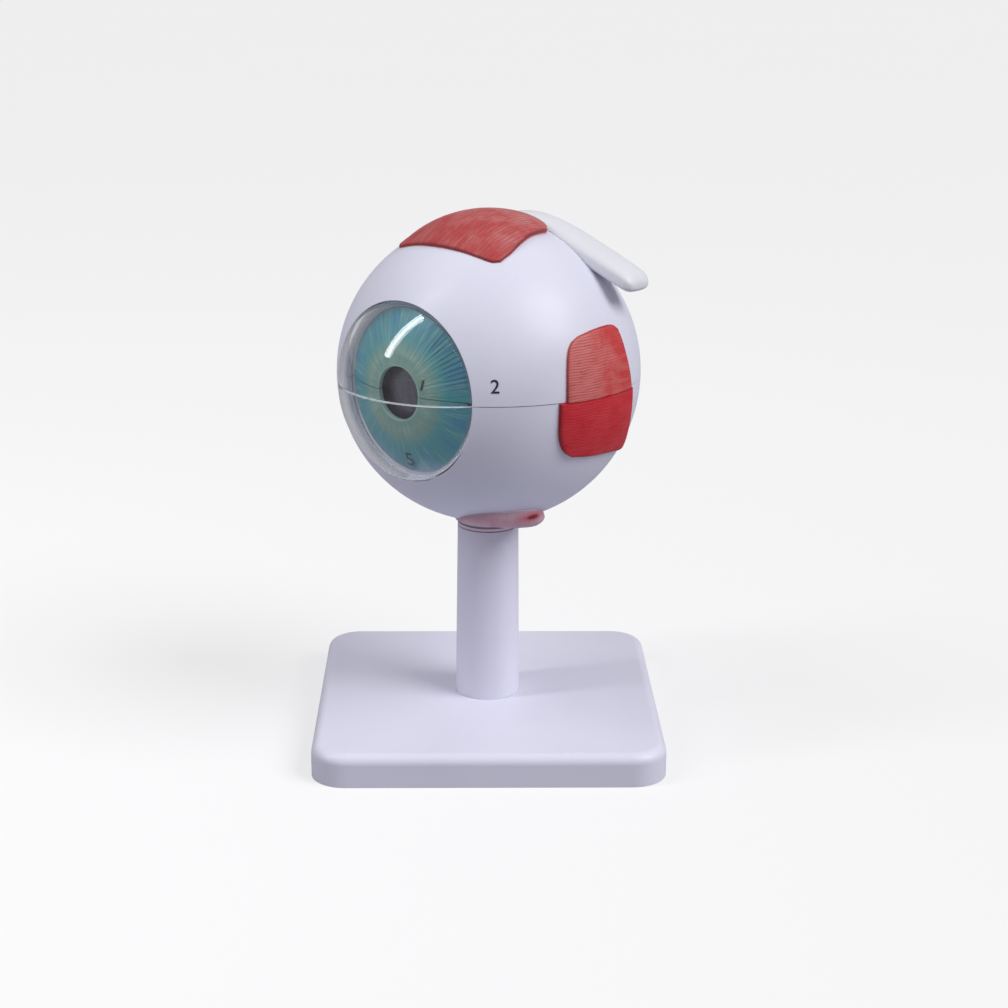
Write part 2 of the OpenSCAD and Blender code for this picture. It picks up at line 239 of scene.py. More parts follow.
class SharedLooks:
    """The effects that more than one finish uses, each a node group built once."""

    def __init__(self) -> None:
        """Builds every group."""
        self.skin = self._skin()
        self.fibres = self._fibres()
        self.vessels = self._vessels()

    @staticmethod
    def _skin() -> bpy.types.NodeTree:
        """Moulded plastic: soft flow mottling, orange peel, fine grain and faint handling marks."""
        tree, kit, src, out = shared_group(
            "moulded_skin",
            {"Point": VECTOR, "Base": COLOUR, "Tint": COLOUR, "Roughness": NUMBER},
            {"Color": COLOUR, "Roughness": NUMBER, "Height": NUMBER},
        )
        point, base, tint, roughness = list(src.outputs)[:4]
        flow = kit.fit(kit.noise(point, 26.0, 3.0, 0.45, 0.4), 0.32, 0.7)
        speck = kit.fit(kit.noise(point, 900.0, 2.0), 0.62, 0.8, 0.0, 0.05)
        tone = kit.mix(speck, kit.mix(flow, base, tint), (0.45, 0.43, 0.47))
        scuff = kit.fit(kit.noise(point, 70.0, 3.0, 0.5), 0.3, 0.75, -0.03, 0.05)
        peel = kit.times(kit.noise(point, 330.0, 1.5), 0.8)
        grain = kit.times(kit.noise(point, 1700.0, 1.0), 0.2)
        kit.link(tone, out.inputs["Color"])
        kit.link(kit.math("ADD", roughness, scuff), out.inputs["Roughness"])
        kit.link(kit.math("ADD", peel, grain), out.inputs["Height"])
        return tree

    @staticmethod
    def _fibres() -> bpy.types.NodeTree:
        """Painted muscle: ribs and threads along the pull, painted shade in the rib furrows and a
        painted highlight on their crests, a dark border and a pale thin rim.
        """
        tree, kit, src, out = shared_group(
            "muscle_fibres",
            {"Pull": VECTOR, "Edge": NUMBER, "Rib": NUMBER, "Ribbing": NUMBER, "Fade": NUMBER,
             "Base": COLOUR, "Light": COLOUR, "Dark": COLOUR, "Rim": COLOUR},
            {"Color": COLOUR, "Roughness": NUMBER, "Height": NUMBER},
        )
        pull, edge, rib, ribbing, fade, base, light, dark, rim = list(src.outputs)[:9]
        stretched = kit.add("ShaderNodeMapping", {"Vector": pull, "Scale": (1.0, 0.16, 1.0)})
        bundle = kit.noise(stretched.outputs[0], 5.0, 3.0, 0.6, 0.15)
        thread = kit.noise(stretched.outputs[0], 17.0, 2.0, 0.6, 0.1)
        ahead = kit.math("SUBTRACT", kit.split(pull)[1], 0.1)
        patchy = kit.math("MULTIPLY_ADD", kit.noise(pull, 1.6, 3.0, 0.6), 0.6, 0.2)
        patchy = kit.math("ADD", patchy, kit.times(ahead, fade))
        # ribs show most in the worn, lighter patches; this scales their painted shade and painted
        # highlight
        ribbing = kit.times(ribbing, kit.fit(patchy, 0.4, 0.62, 0.3))
        # painted shade in the sunk furrows between the raised ribs, and a painted highlight on their
        # crests
        furrow_shade = kit.times(kit.fit(rib, 0.55, 0.15), kit.fit(bundle, 0.3, 0.5))
        crest_highlight = kit.fit(rib, 0.75, 1.0, 0.0, 0.4)
        ragged = kit.math("ADD", edge, kit.times(patchy, 0.1))
        tone = kit.layers(
            kit.mix(kit.fit(patchy, 0.36, 0.66), base, light),
            (kit.fit(bundle, 0.46, 0.7, 0.0, 0.45), light),
            (kit.times(furrow_shade, ribbing), dark),
            (kit.times(crest_highlight, ribbing), light),
            (kit.fit(thread, 0.46, 0.3, 0.0, 0.35), dark),
            (kit.fit(ragged, 0.3, 0.14, 0.0, 0.75), dark),
            (kit.fit(edge, 0.045, 0.015, 0.0, 0.9), rim),
        )
        height = kit.math("ADD", kit.times(bundle, 0.6), kit.times(thread, 0.4))
        kit.link(tone, out.inputs["Color"])
        kit.link(kit.fit(bundle, 0.3, 0.7, 0.62, 0.5), out.inputs["Roughness"])
        kit.link(height, out.inputs["Height"])
        return tree

    @staticmethod
    def _vessels() -> bpy.types.NodeTree:
        """Branching blood vessels: a wide and a fine net, thinned unevenly."""
        tree, kit, src, out = shared_group(
            "vessel_net", {"Point": VECTOR, "Scale": NUMBER}, {"Wide": NUMBER, "Fine": NUMBER}
        )
        point, size = list(src.outputs)[:2]
        wobble = kit.add("ShaderNodeTexNoise", {"Vector": point, "Scale": 0.12, "Detail": 3.0})
        bend = kit.vector("SCALE", {0: wobble.outputs["Color"], "Scale": 9.0})
        bent = kit.vector("ADD", {0: point, 1: bend})
        for label, factor, width in (("Wide", 1.0, 0.055), ("Fine", 2.6, 0.04)):
            cells = kit.add("ShaderNodeTexVoronoi", {"Vector": bent, "Scale": kit.times(size, factor)},
                            feature="DISTANCE_TO_EDGE").outputs["Distance"]
            gaps = kit.fit(kit.noise(point, 0.09 * factor, 2.0), 0.38, 0.56)
            kit.link(kit.times(kit.fit(cells, width, width * 0.25), gaps), out.inputs[label])
        return tree


class Finish:
    """Base of the finishes: makes a material and joins maps to its Principled shader."""

    name: str

    def start(self) -> tuple[bpy.types.Material, Nodes, bpy.types.Node]:
        """New material with its tree and Principled node."""
        material = bpy.data.materials.new(self.name)
        material.use_nodes = True
        kit = Nodes(material.node_tree)
        shader = kit.add("ShaderNodeBsdfPrincipled")
        kit.add("ShaderNodeOutputMaterial", {"Surface": shader.outputs[0]})
        return material, kit, shader

    @staticmethod
    def fix(shader: bpy.types.Node, **values) -> None:
        """Sets constants on the shader's own sockets, named with _ for each space."""
        for name, value in values.items():
            shader.inputs[name.replace("_", " ")].default_value = value

    @staticmethod
    def join(kit: Nodes, shader: bpy.types.Node, color: Socket, rough: Socket | None = None,
             height: Socket | None = None, bump: float = 0.1, depth: float = 0.1) -> None:
        """Feeds the colour, roughness and bump of a finish.

        Args:
            kit: The material's nodes.
            shader: Its Principled node.
            color: Base colour.
            rough: Roughness, if it varies.
            height: Height of the bump, if there is one.
            bump: Strength of the bump.
            depth: Its depth in millimetres.
        """
        kit.link(color, shader.inputs["Base Color"])
        if rough is not None:
            kit.link(rough, shader.inputs["Roughness"])
        if height is not None:
            node = kit.add("ShaderNodeBump",
                           {"Strength": bump, "Distance": depth * MM, "Height": height})
            kit.link(node.outputs[0], shader.inputs["Normal"])

    @staticmethod
    def let_light_in(kit: Nodes, shader: bpy.types.Node, shade: float) -> None:
        """Lets lamp and bounced light through a clear wall, for what lies behind it."""
        path = kit.add("ShaderNodeLightPath")
        soft = kit.math("MAXIMUM", path.outputs["Is Shadow Ray"], path.outputs["Is Diffuse Ray"])
        kit.link(kit.math("SUBTRACT", 1.0, kit.times(soft, 1.0 - shade)), shader.inputs["Alpha"])


@dataclass(frozen=True)
class MouldedPlastic(Finish):
    """Satin or gloss moulded plastic, with an optional painted shade line."""

    name: str
    base: Colour
    tint: Colour
    roughness: float = 0.3
    coat: float = 0.25
    bump: float = 0.12
    shade_line_reach: float | None = None

    def build(self, looks: SharedLooks) -> bpy.types.Material:
        """Makes the material."""
        material, kit, shader = self.start()
        skin = kit.add("ShaderNodeGroup", {
            "Point": kit.object_point(), "Base": (*self.base, 1.0), "Tint": (*self.tint, 1.0),
            "Roughness": self.roughness}, node_tree=looks.skin)
        color = skin.outputs["Color"]
        if self.shade_line_reach is not None:
            # painted shade: a dark line round the piece at one distance from the ball's centre, for
            # the shadow in the gap under the ball
            away = kit.vector("LENGTH", {0: kit.eye_point()}, "Value")
            gap = kit.math("ABSOLUTE", kit.math("SUBTRACT", away, self.shade_line_reach))
            color = kit.mix(kit.fit(gap, 0.4, 0.15, 0.0, 0.8), color, (0.1, 0.05, 0.09))
        self.join(kit, shader, color, skin.outputs["Roughness"], skin.outputs["Height"],
                  self.bump, 0.08)
        self.fix(shader, Coat_Weight=self.coat, Coat_Roughness=0.12, Subsurface_Weight=0.12,
                 Subsurface_Radius=(0.6, 0.5, 0.55), Subsurface_Scale=2.0 * MM)
        return material


@dataclass(frozen=True)
class MusclePaint(Finish):
    """Painted muscle with ribs along its pull, painted shade in their furrows and a painted highlight
    on their crests, a dark border and, on one, a dark red spot.
    """

    name: str
    base: Colour
    light: Colour
    dark: Colour
    rim: Colour = (0.66, 0.42, 0.43)
    # ribbing sets the painted shade in the rib furrows and the painted highlight on their crests
    ribbing: float = 0.6
    fade: float = 0.0
    bump: float = 0.5
    dark_spot: tuple[float, float, float, float] | None = None

    def build(self, looks: SharedLooks) -> bpy.types.Material:
        """Makes the material."""
        material, kit, shader = self.start()
        values = {"Ribbing": self.ribbing, "Fade": self.fade,
                  "Pull": kit.add("ShaderNodeUVMap", uv_map="pull").outputs[0]}
        for label in ("edge", "rib"):
            reading = kit.add("ShaderNodeAttribute", attribute_name=label)
            values[label.title()] = reading.outputs["Fac"]
        for label in ("base", "light", "dark", "rim"):
            values[label.title()] = (*getattr(self, label), 1.0)
        fibres = kit.add("ShaderNodeGroup", values, node_tree=looks.fibres)
        color = fibres.outputs["Color"]
        if self.dark_spot is not None:
            # a dark red spot with a red ring round it, centred on a given point of the eye frame
            *centre, size = self.dark_spot
            arm = kit.vector("SUBTRACT", {0: kit.eye_point(), 1: centre})
            flat = kit.vector("MULTIPLY", {0: arm, 1: (1.0, 1.0, 3.2)})
            away = kit.vector("LENGTH", {0: flat}, "Value")
            color = kit.layers(
                color, (kit.fit(away, size * 2.2, size * 0.8, 0.0, 0.7), (0.55, 0.1, 0.11)),
                (kit.fit(away, size, size * 0.4, 0.0, 0.9), (0.17, 0.004, 0.014)))
        self.join(kit, shader, color, fibres.outputs["Roughness"],
                  fibres.outputs["Height"], self.bump, 0.25)
        self.fix(shader, Specular_IOR_Level=0.3)
        return material


@dataclass(frozen=True)
class ClearPlastic(Finish):
    """Clear moulded plastic, with faint haze and moulding waves."""

    name: str
    colour: Colour
    haze: Colour
    ior: float = 1.45
    shade: float = 0.08
    waves: float = 0.03
    clear: float = 1.0
    frost: float = 0.0

    def build(self, looks: SharedLooks) -> bpy.types.Material:
        """Makes the material."""
        material, kit, shader = self.start()
        point = kit.object_point()
        cloud = kit.fit(kit.noise(point, 55.0, 3.0), 0.35, 0.75)
        color = kit.mix(cloud, self.colour, self.haze)
        rough = kit.fit(kit.noise(point, 140.0, 4.0, 0.6), 0.45, 0.8, self.frost + 0.015,
                        self.frost + 0.06)
        self.join(kit, shader, color, rough, kit.noise(point, 60.0, 1.0), self.waves, 0.2)
        self.fix(shader, Transmission_Weight=self.clear, IOR=self.ior)
        self.let_light_in(kit, shader, self.shade)
        return material


@dataclass(frozen=True)
class IrisPaint(Finish):
    """Painted iris: olive round the pupil, teal outside it, fine radial fibres, a dark rim."""

    name: str = "iris_paint"
    olive: Colour = (0.2, 0.34, 0.26)
    teal: Colour = (0.05, 0.29, 0.31)
    blue: Colour = (0.03, 0.24, 0.37)
    pale: Colour = (0.32, 0.5, 0.47)
    rim: Colour = (0.2, 0.27, 0.31)
    dark: Colour = (0.008, 0.045, 0.09)

    def build(self, looks: SharedLooks) -> bpy.types.Material:
        """Makes the material."""
        material, kit, shader = self.start()
        _, y, z = kit.split(kit.eye_point())
        radius = kit.reach(y, z)
        out = kit.fit(radius, PUPIL_R, IRIS_RIM_R)
        # a point on the unit circle, so that the streaks close without a join
        cos, sin = kit.math("DIVIDE", y, radius), kit.math("DIVIDE", z, radius)

        def streaks(spokes: float, drift: float, detail: float) -> Socket:
            """Radial streaks: noise round the circle that drifts slowly outwards."""
            point = kit.add("ShaderNodeCombineXYZ", {
                0: kit.times(cos, spokes), 1: kit.times(sin, spokes),
                2: kit.times(radius, drift)}).outputs[0]
            return kit.noise(point, 1.0, detail, 0.6, 0.1)

        broad, fine, hair = streaks(7.0, 0.05, 2.0), streaks(26.0, 0.09, 3.0), streaks(60.0, 0.16, 2.0)
        collar = kit.fit(kit.math("ADD", out, kit.times(fine, 0.3)), 0.32, 0.74)
        outer = kit.times(kit.fit(out, 0.55, 0.9), kit.fit(broad, 0.42, 0.62))
        # spokes of dark and light paint in the outer ring of the upper nose-side quarter
        angle = kit.math("ARCTAN2", z, y)
        spokes = kit.math("SINE", kit.math("ADD", kit.times(angle, 92.0), kit.times(broad, 5.0)))
        quarter = kit.times(kit.fit(out, 0.5, 0.72),
                            kit.times(kit.fit(angle, 0.0, 0.35), kit.fit(angle, 1.35, 0.9)))
        ruff_gap = kit.math("ABSOLUTE", kit.math("SUBTRACT", radius, RUFF_R))
        ruff = kit.times(kit.fit(ruff_gap, 1.3, 0.1, 0.0, 0.35), kit.fit(fine, 0.4, 0.6))
        color = kit.layers(
            kit.mix(collar, self.olive, self.teal),
            (outer, self.blue),
            (kit.fit(fine, 0.52, 0.72, 0.0, 0.5), self.pale),
            (kit.fit(hair, 0.48, 0.34, 0.0, 0.5), self.blue),
            (kit.times(kit.fit(spokes, 0.1, 0.8, 0.0, 0.55), quarter), self.dark),
            (ruff, self.pale),
            (kit.fit(radius, IRIS_RIM_R - 0.8, IRIS_RIM_R - 0.1, 0.0, 0.6), self.rim),
            (kit.fit(radius, PUPIL_R + 0.7, PUPIL_R + 0.2, 0.0, 0.7), self.pale),
        )
        height = kit.math("ADD", kit.times(fine, 0.6), kit.times(hair, 0.4))
        self.join(kit, shader, color, kit.fit(hair, 0.3, 0.7, 0.5, 0.38), height, 0.35, 0.2)
        return material


@dataclass(frozen=True)
class ChoroidPaint(Finish):
    """Middle coat: dark red-brown with vessels outside, orange retina with its disc inside."""

    name: str = "choroid_paint"
    outside: Colour = (0.2, 0.035, 0.025)
    outside_light: Colour = (0.36, 0.08, 0.05)
    vein: Colour = (0.06, 0.012, 0.03)
    retina: Colour = (0.62, 0.2, 0.08)
    retina_deep: Colour = (0.48, 0.1, 0.045)
    artery: Colour = (0.42, 0.02, 0.018)
    disc: Colour = (0.85, 0.68, 0.32)
    ciliary: Colour = (0.16, 0.05, 0.04)
    limbus: Colour = (0.68, 0.7, 0.76)
    spot_y: float = -5.0

    def build(self, looks: SharedLooks) -> bpy.types.Material:
        """Makes the material."""
        material, kit, shader = self.start()
        point = kit.eye_point()
        x, y, z = kit.split(point)
        length = kit.vector("LENGTH", {0: point}, "Value")
        net = kit.add("ShaderNodeGroup", {"Point": point, "Scale": 0.085},
                      node_tree=looks.vessels)
        wide, fine = net.outputs["Wide"], net.outputs["Fine"]
        cloud = kit.noise(point, 0.16, 4.0, 0.6)
        skin = kit.layers(
            kit.mix(kit.fit(cloud, 0.35, 0.65), self.outside, self.outside_light),
            (kit.times(wide, 0.8), self.vein), (kit.times(fine, 0.5), self.vein))
        at_back = kit.math("LESS_THAN", x, 0.0)
        disc = kit.fit(kit.reach(y, z, NERVE_Y), 4.4, 3.8)
        spot = kit.fit(kit.reach(y, z, self.spot_y), 3.4, 0.6)
        lining = kit.layers(
            kit.mix(kit.fit(cloud, 0.4, 0.7), self.retina, self.retina_deep),
            (wide, self.artery), (kit.times(fine, 0.7), self.artery),
            (kit.times(disc, at_back), self.disc), (kit.times(spot, at_back), self.retina_deep))
        front = kit.times(kit.fit(x, 26.9, 27.6), kit.fit(kit.reach(y, z), 19.2, 19.8))
        color = kit.layers(
            kit.mix(kit.fit(length, 34.3, 34.9), lining, skin),
            (kit.fit(x, 22.9, 23.5), self.ciliary), (front, self.limbus))
        self.join(kit, shader, color, kit.fit(cloud, 0.3, 0.7, 0.4, 0.52), cloud, 0.2, 0.3)
        self.fix(shader, Coat_Weight=0.15)
        return material


@dataclass(frozen=True)
class NervePaint(Finish):
    """Optic nerve: ochre sheath, and bundles with two red vessels on its cut end."""

    name: str = "nerve_paint"
    sheath: Colour = (0.72, 0.5, 0.16)
    bundle: Colour = (0.86, 0.7, 0.34)
    vessel: Colour = (0.5, 0.03, 0.03)
    end_x: float = -48.3

    def build(self, looks: SharedLooks) -> bpy.types.Material:
        """Makes the material."""
        material, kit, shader = self.start()
        point = kit.eye_point()
        x, y, z = kit.split(point)
        streak = kit.add("ShaderNodeMapping", {"Vector": point, "Scale": (0.12, 1.0, 1.0)})
        lines = kit.noise(streak.outputs[0], 1.1, 3.0)
        cells = kit.add("ShaderNodeTexVoronoi", {"Vector": point, "Scale": 0.9},
                        feature="DISTANCE_TO_EDGE").outputs["Distance"]
        cut = kit.layers(
            kit.mix(kit.fit(cells, 0.02, 0.1), self.sheath, self.bundle),
            *((kit.fit(kit.reach(y, z, NERVE_Y + side, side), 0.8, 0.6), self.vessel)
              for side in (1.0, -1.0)))
        color = kit.mix(kit.fit(lines, 0.4, 0.65), self.sheath, self.bundle)
        color = kit.mix(kit.math("LESS_THAN", x, self.end_x), color, cut)
        self.join(kit, shader, color, kit.fit(lines, 0.3, 0.7, 0.42, 0.5), lines, 0.3, 0.2)
        return material


@dataclass(frozen=True)
class PlatedSteel(Finish):
    """Zinc-plated steel with fine turning marks."""

    name: str = "plated_steel"
    base: Colour = (0.55, 0.55, 0.56)
    dull: Colour = (0.36, 0.36, 0.37)

    def build(self, looks: SharedLooks) -> bpy.types.Material:
        """Makes the material."""
        material, kit, shader = self.start()
        point = kit.object_point()
        turned = kit.add("ShaderNodeTexWave", {"Vector": point, "Scale": 500.0,
                                               "Distortion": 2.0},
                         wave_type="RINGS", rings_direction="Z").outputs["Fac"]
        cloud = kit.noise(point, 420.0, 3.0)
        color = kit.mix(kit.fit(cloud, 0.4, 0.7), self.base, self.dull)
        self.join(kit, shader, color, kit.fit(cloud, 0.3, 0.7, 0.25, 0.42), turned, 0.15, 0.03)
        self.fix(shader, Metallic=1.0)
        return material


@dataclass(frozen=True)
class PrintedInk(Finish):
    """Thin dark print with slightly worn density."""

    name: str = "printed_ink"
    ink: Colour = (0.012, 0.016, 0.022)
    worn: Colour = (0.03, 0.045, 0.055)

    def build(self, looks: SharedLooks) -> bpy.types.Material:
        """Makes the material."""
        material, kit, shader = self.start()
        wear = kit.noise(kit.object_point(), 2200.0, 3.0)
        self.join(kit, shader, kit.mix(kit.fit(wear, 0.5, 0.75), self.ink, self.worn),
                  kit.fit(wear, 0.3, 0.7, 0.42, 0.55))
        return material


@dataclass(frozen=True)
class PaleFloor(Finish):
    """Plain pale floor that looks white to the camera and keeps the model's soft shadow."""

    name: str = "pale_floor"
    base: Colour = (0.86, 0.86, 0.87)
    cloud: Colour = (0.88, 0.88, 0.89)
    bounce: Colour = (0.27, 0.27, 0.31)
    lift: float = 0.6

    def build(self, looks: SharedLooks) -> bpy.types.Material:
        """Makes the material."""
        material, kit, shader = self.start()
        tone = kit.mix(kit.noise(kit.object_point(), 3.0, 2.0), self.base, self.cloud)
        path = kit.add("ShaderNodeLightPath")
        turned = kit.math("MAXIMUM", path.outputs["Is Glossy Ray"],
                          path.outputs["Is Transmission Ray"])
        seen = kit.math("MAXIMUM", path.outputs["Is Camera Ray"], kit.times(turned, 0.15))
        kit.link(kit.mix(seen, self.bounce, tone), shader.inputs["Base Color"])
        self.fix(shader, Roughness=0.7)
        glow = kit.add("ShaderNodeEmission", {"Color": (1.0, 1.0, 1.0, 1.0), "Strength": 1.0})
        both = kit.add("ShaderNodeMixShader", {0: kit.times(seen, self.lift),
                                               1: shader.outputs[0], 2: glow.outputs[0]})
        out = next(n for n in kit.tree.nodes if n.type == "OUTPUT_MATERIAL")
        kit.link(both.outputs[0], out.inputs["Surface"])
        return material


# ---------------------------------------------------------------- mesh helpers


def add_piece(name: str, bm: bmesh.types.BMesh, material: bpy.types.Material,
              smooth: float = 40.0) -> bpy.types.Object:
    """Turns a bmesh into an object at the origin.

    Args:
        name: The piece's name.
        bm: Its mesh, in the model's frame and in metres; it is freed.
        material: Its finish.
        smooth: Edges sharper than this angle stay sharp, in degrees.

    Returns:
        The new object.
    """
    bmesh.ops.recalc_face_normals(bm, faces=bm.faces)
    limit = math.radians(smooth)
    for face in bm.faces:
        face.smooth = True
    for edge in bm.edges:
        if len(edge.link_faces) == 2:
            edge.smooth = edge.calc_face_angle(0.0) < limit
    mesh = bpy.data.meshes.new(name)
    bm.to_mesh(mesh)
    bm.free()
    mesh.materials.append(material)
    piece = bpy.data.objects.new(name, mesh)
    bpy.context.scene.collection.objects.link(piece)
    return piece


def into_eye(bm: bmesh.types.BMesh) -> None:
    """Places a mesh written in millimetres in the eye frame."""
    bmesh.ops.transform(bm, matrix=EYE @ Matrix.Scale(MM, 4), verts=bm.verts)


def settle(piece: bpy.types.Object, body: str, nodes: Iterable[str] = ()) -> None:
    """Gives a piece its body and the solids that it stands for."""
    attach(piece, body)
    if nodes:
        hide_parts(*nodes)
    LOG.info("built %s on %s", piece.name, body)


def dress(node: str, material: bpy.types.Material) -> None:
    """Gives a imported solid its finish."""
    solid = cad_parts[node]
    solid.data.materials.clear()
    solid.data.materials.append(material)
    LOG.info("dressed %s with %s", node, material.name)


def turned_half(profile: Points, half: Half, steps: int) -> bmesh.types.BMesh:
    """Spins a closed profile half a turn about the optical axis.

    Args:
        profile: (along the axis, radius) in millimetres, in order round the profile.
        half: Which side of the seam it fills.
        steps: Steps in the half turn.

    Returns:
        A closed half ring or half shell in the eye frame, in millimetres.
    """
    bm = bmesh.new()
    face = bm.faces.new([bm.verts.new((a, r, 0.0)) for a, r in profile])
    bmesh.ops.spin(bm, geom=[face, *face.edges, *face.verts], cent=(0, 0, 0), axis=(1, 0, 0),
                   angle=math.pi * half.value, steps=steps, use_merge=False,
                   use_duplicate=False)
    bmesh.ops.remove_doubles(bm, verts=bm.verts, dist=1e-4)
    open_edges = [e for e in bm.edges if len(e.link_faces) == 1]
    if open_edges:
        bmesh.ops.holes_fill(bm, edges=open_edges, sides=0)
    bmesh.ops.translate(bm, verts=bm.verts, vec=(0, 0, SEAM_HALF * half.value))
    return bm


def arc(cx: float, r: float, r0: float, r1: float, n: int) -> list[tuple[float, float]]:
    """Points of a circle centred on the axis, between two distances from the axis."""
    a0, a1 = math.asin(clamp01(r0 / r)), math.asin(clamp01(r1 / r))
    return [(cx + r * math.cos(a), r * math.sin(a))
            for a in (a0 + (a1 - a0) * i / n for i in range(n + 1))]


def ease_seam(bm: bmesh.types.BMesh, width: float) -> None:
    """Breaks the sharp edges of the flat seam faces with a narrow bevel."""
    bmesh.ops.recalc_face_normals(bm, faces=bm.faces)
    flat = [f for f in bm.faces if abs(f.normal.z) > 0.999 and abs(abs(f.calc_center_median().z)
                                                                 - SEAM_HALF) < 0.02]
    edges = {e for f in flat for e in f.edges
             if any(g not in flat for g in e.link_faces) and len(e.link_faces) == 2}
    bmesh.ops.bevel(bm, geom=list(edges), offset=width, offset_type="OFFSET", segments=2,
                    profile=0.5, affect="EDGES", material=-1, clamp_overlap=True)


# ---------------------------------------------------------------- the model


@dataclass
class Stand:
    """Square base, post, screw, washer and swivel pin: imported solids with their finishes."""

    white: MouldedPlastic = MouldedPlastic(
        "stand_white", (0.71, 0.705, 0.83), (0.74, 0.735, 0.855), 0.45, 0.04, 0.08
    )
    nylon: MouldedPlastic = MouldedPlastic(
        "pin_plastic", (0.62, 0.61, 0.58), (0.7, 0.69, 0.66), 0.45, 0.05, 0.2
    )

    def build(self, looks: SharedLooks) -> None:
        """Dresses every solid of the stand."""
        white = self.white.build(looks)
        dress("base_plate", white)
        dress("post", white)
        dress("swivel_pin", self.nylon.build(looks))
        steel = PlatedSteel().build(looks)
        dress("post_screw", steel)
        dress("post_washer", steel)


@dataclass
class Shells:
    """Sclera halves, collar, pins, nerve and the middle coat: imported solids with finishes."""

    sclera: MouldedPlastic = MouldedPlastic(
        "sclera_white", (0.71, 0.71, 0.83), (0.74, 0.74, 0.855), 0.45, 0.04, 0.08
    )
    # the collar gets a painted shade line 41.05 mm from the ball's centre, where the ball shades it
    collar: MouldedPlastic = MouldedPlastic(
        "collar_plastic", (0.78, 0.66, 0.76), (0.8, 0.72, 0.8), 0.4, 0.1, 0.12, 41.05
    )

    def build(self, looks: SharedLooks) -> None:
        """Dresses the shells."""
        white = self.sclera.build(looks)
        for node in ("upper_sclera", "lower_sclera", "sclera_pins"):
            dress(node, white)
        dress("stem_collar", self.collar.build(looks))
        coat = ChoroidPaint().build(looks)
        for node in ("upper_choroid", "lower_choroid", "choroid_pins"):
            dress(node, coat)
        nerve = NervePaint().build(looks)
        dress("optic_nerve_upper", nerve)
        dress("optic_nerve_lower", nerve)


@dataclass
class ClearCore:
    """Vitreous body and lens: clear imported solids."""

    def build(self, looks: SharedLooks) -> None:
        """Dresses the clear solids."""
        dress("vitreous_body", ClearPlastic("vitreous_core", (0.92, 0.92, 0.96),
                                            (0.88, 0.88, 0.94), 1.4).build(looks))
        dress("lens", ClearPlastic("lens_core", (0.84, 0.8, 0.97), (0.8, 0.77, 0.95), 1.46,
                                   clear=0.93).build(looks))


@dataclass
class Cornea:
    """Clear split dome on a short skirt that sits in the opening of the sclera."""

    limbus_x: float = 31.78
    base_r: float = 22.55
    rise: float = 11.2
    wall: float = 1.5
    skirt: float = 2.5

    def profile(self) -> list[tuple[float, float]]:
        """Closed profile of the dome and its skirt."""
        dome_r = (self.base_r**2 + self.rise**2) / (2 * self.rise)
        cx = self.limbus_x + self.rise - dome_r
        inner_r = dome_r - self.wall
        skirt_r = self.base_r - self.wall
        inner = arc(cx, inner_r, 0.0, skirt_r, 40)
        outer = arc(cx, dome_r, self.base_r, 0.0, 44)
        start = self.limbus_x - self.skirt
        return [*inner, (start, skirt_r), (start, self.base_r - 0.05),
                (self.limbus_x - 0.1, self.base_r - 0.05), *outer]

    def build(self, looks: SharedLooks) -> None:
        """Makes both halves."""
        clear = ClearPlastic("cornea_dome", (0.955, 0.965, 0.975), (0.93, 0.945, 0.965),
                             1.44, 0.06, 0.012).build(looks)
        cut = ClearPlastic("cornea_cut", (0.86, 0.88, 0.93), (0.8, 0.82, 0.88), 1.44, 0.06,
                           0.04, 0.5, 0.25).build(looks)
        for half, body in ((Half.UPPER, "upper_sclera"), (Half.LOWER, "lower_sclera")):
            bm = turned_half(self.profile(), half, 96)
            ease_seam(bm, 0.22)
            into_eye(bm)
            piece = add_piece(f"cornea_{half.name.lower()}_half", bm, clear)
            piece.data.materials.append(cut)
            for face in piece.data.polygons:
                level = face.center.z / MM - EYE_HEIGHT
                if abs(level) < SEAM_HALF + 0.02 and abs(face.normal.z) > 0.99:
                    face.material_index = 1
            settle(piece, body, [f"{half.name.lower()}_cornea"])


